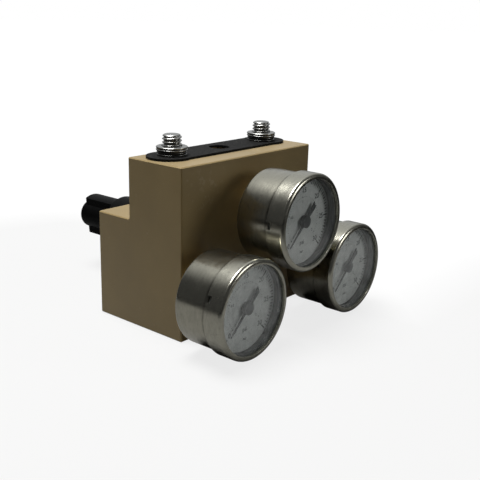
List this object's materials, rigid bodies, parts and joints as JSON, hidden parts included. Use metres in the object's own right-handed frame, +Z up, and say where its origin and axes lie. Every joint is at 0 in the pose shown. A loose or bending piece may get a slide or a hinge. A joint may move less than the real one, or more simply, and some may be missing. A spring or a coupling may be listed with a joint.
{
  "type": "pneumatic pressure regulator",
  "caption": "Manifold-mounted pneumatic pressure regulator: L-shaped block with round gauges on its front, a diaphragm regulator with a winged knob behind and studs on top.",
  "frame": {"origin": "centre of the manifold block's footprint, on its bottom face", "axes": "+Z up towards the studs, -Y towards the gauge faces, +Y towards the knob, +X to the right seen from the gauges"},
  "size_m": [0.109, 0.1384, 0.0806],
  "materials": {
    "anodised_block": "satin bronze anodised",
    "machined_aluminium": "machined",
    "plated_steel": "zinc plated",
    "dark_steel": "dull plated",
    "spring_steel": "drawn wire",
    "stainless_case": "brushed round",
    "stainless_bezel": "brushed round",
    "clear_lens": "clear",
    "dial_white": "matt white",
    "pointer_black": "matt black",
    "brass": "machined",
    "bronze_tube": "drawn",
    "black_rubber": "matt",
    "black_plastic": "fine grained",
    "acetal": "moulded"
  },
  "bodies": {
    "housing": {"manifold_block": "anodised_block", "passage_plug": "plated_steel", "mounting_gasket": "black_rubber", "mounting_studs": "plated_steel", "lock_washers": "dark_steel", "flat_washers": "plated_steel", "bonnet": "black_plastic", "range_spring": "spring_steel", "slip_ring": "acetal", "diaphragm": "black_rubber", "valve_seat": "brass", "valve_seat_seal": "black_rubber", "poppet_spring": "spring_steel", "supply_gauge_case": "stainless_case", "supply_gauge_bezel": "stainless_bezel", "supply_gauge_lens": "clear_lens", "supply_window_gasket": "black_rubber", "supply_dial": "dial_white", "supply_movement_frame": "brass", "supply_bourdon_tube": "bronze_tube", "supply_gauge_socket": "brass", "outlet_gauge_case": "stainless_case", "outlet_gauge_bezel": "stainless_bezel", "outlet_gauge_lens": "clear_lens", "outlet_window_gasket": "black_rubber", "outlet_dial": "dial_white", "outlet_movement_frame": "brass", "outlet_bourdon_tube": "bronze_tube", "outlet_gauge_socket": "brass", "signal_gauge_case": "stainless_case", "signal_gauge_bezel": "stainless_bezel", "signal_gauge_lens": "clear_lens", "signal_window_gasket": "black_rubber", "signal_dial": "dial_white", "signal_movement_frame": "brass", "signal_bourdon_tube": "bronze_tube", "signal_gauge_socket": "brass"},
    "knob": {"adjusting_knob": "black_plastic", "adjusting_screw": "plated_steel"},
    "spring_nut": {"spring_nut": "brass"},
    "diaphragm_piston": {"diaphragm_plate": "machined_aluminium", "diaphragm_rivet": "brass"},
    "valve": {"valve_poppet": "brass"},
    "supply_pointer": {"supply_pointer": "pointer_black", "supply_pinion": "brass"},
    "supply_sector": {"supply_sector_gear": "brass"},
    "outlet_pointer": {"outlet_pointer": "pointer_black", "outlet_pinion": "brass"},
    "outlet_sector": {"outlet_sector_gear": "brass"},
    "signal_pointer": {"signal_pointer": "pointer_black", "signal_pinion": "brass"},
    "signal_sector": {"signal_sector_gear": "brass"}
  },
  "joints": [
    {"name": "knob_turn", "type": "hinge", "parent": "housing", "child": "knob", "pos_m": [0, 0.056, 0.0271], "axis": [0, -1, 0], "range_deg": [0, 1800]},
    {"name": "nut_slide", "type": "slide", "parent": "housing", "child": "spring_nut", "axis": [0, -1, 0], "range_m": [0, 0.00625], "deforming": ["range_spring"]},
    {"name": "diaphragm_slide", "type": "slide", "parent": "housing", "child": "diaphragm_piston", "axis": [0, -1, 0], "range_m": [0, 0.0008], "stiffness_N_per_m": 2000, "deforming": ["diaphragm"]},
    {"name": "valve_slide", "type": "slide", "parent": "housing", "child": "valve", "axis": [0, -1, 0], "range_m": [0, 0.0008], "deforming": ["poppet_spring"]},
    {"name": "supply_pointer_turn", "type": "hinge", "parent": "housing", "child": "supply_pointer", "pos_m": [0, -0.0463, 0.04805], "axis": [0, 1, 0], "range_deg": [0, 270], "stiffness_Nm_per_rad": 0.0002},
    {"name": "supply_sector_turn", "type": "hinge", "parent": "housing", "child": "supply_sector", "pos_m": [0, -0.0463, 0.03755], "axis": [0, 1, 0], "range_deg": [-45, 0]},
    {"name": "outlet_pointer_turn", "type": "hinge", "parent": "housing", "child": "outlet_pointer", "pos_m": [-0.0345, -0.0463, 0.0209], "axis": [0, 1, 0], "range_deg": [0, 270], "stiffness_Nm_per_rad": 0.0002},
    {"name": "outlet_sector_turn", "type": "hinge", "parent": "housing", "child": "outlet_sector", "pos_m": [-0.0345, -0.0463, 0.0104], "axis": [0, 1, 0], "range_deg": [-45, 0]},
    {"name": "signal_pointer_turn", "type": "hinge", "parent": "housing", "child": "signal_pointer", "pos_m": [0.0345, -0.0463, 0.0209], "axis": [0, 1, 0], "range_deg": [0, 270], "stiffness_Nm_per_rad": 0.0002},
    {"name": "signal_sector_turn", "type": "hinge", "parent": "housing", "child": "signal_sector", "pos_m": [0.0345, -0.0463, 0.0104], "axis": [0, 1, 0], "range_deg": [-45, 0]}
  ],
  "couplings": [
    {"joint": "knob_turn", "follows": "nut_slide", "rad_per_m": 5026.5},
    {"joint": "valve_slide", "follows": "diaphragm_slide", "ratio": 1},
    {"joint": "supply_sector_turn", "follows": "supply_pointer_turn", "ratio": -0.16667},
    {"joint": "outlet_sector_turn", "follows": "outlet_pointer_turn", "ratio": -0.16667},
    {"joint": "signal_sector_turn", "follows": "signal_pointer_turn", "ratio": -0.16667}
  ]
}
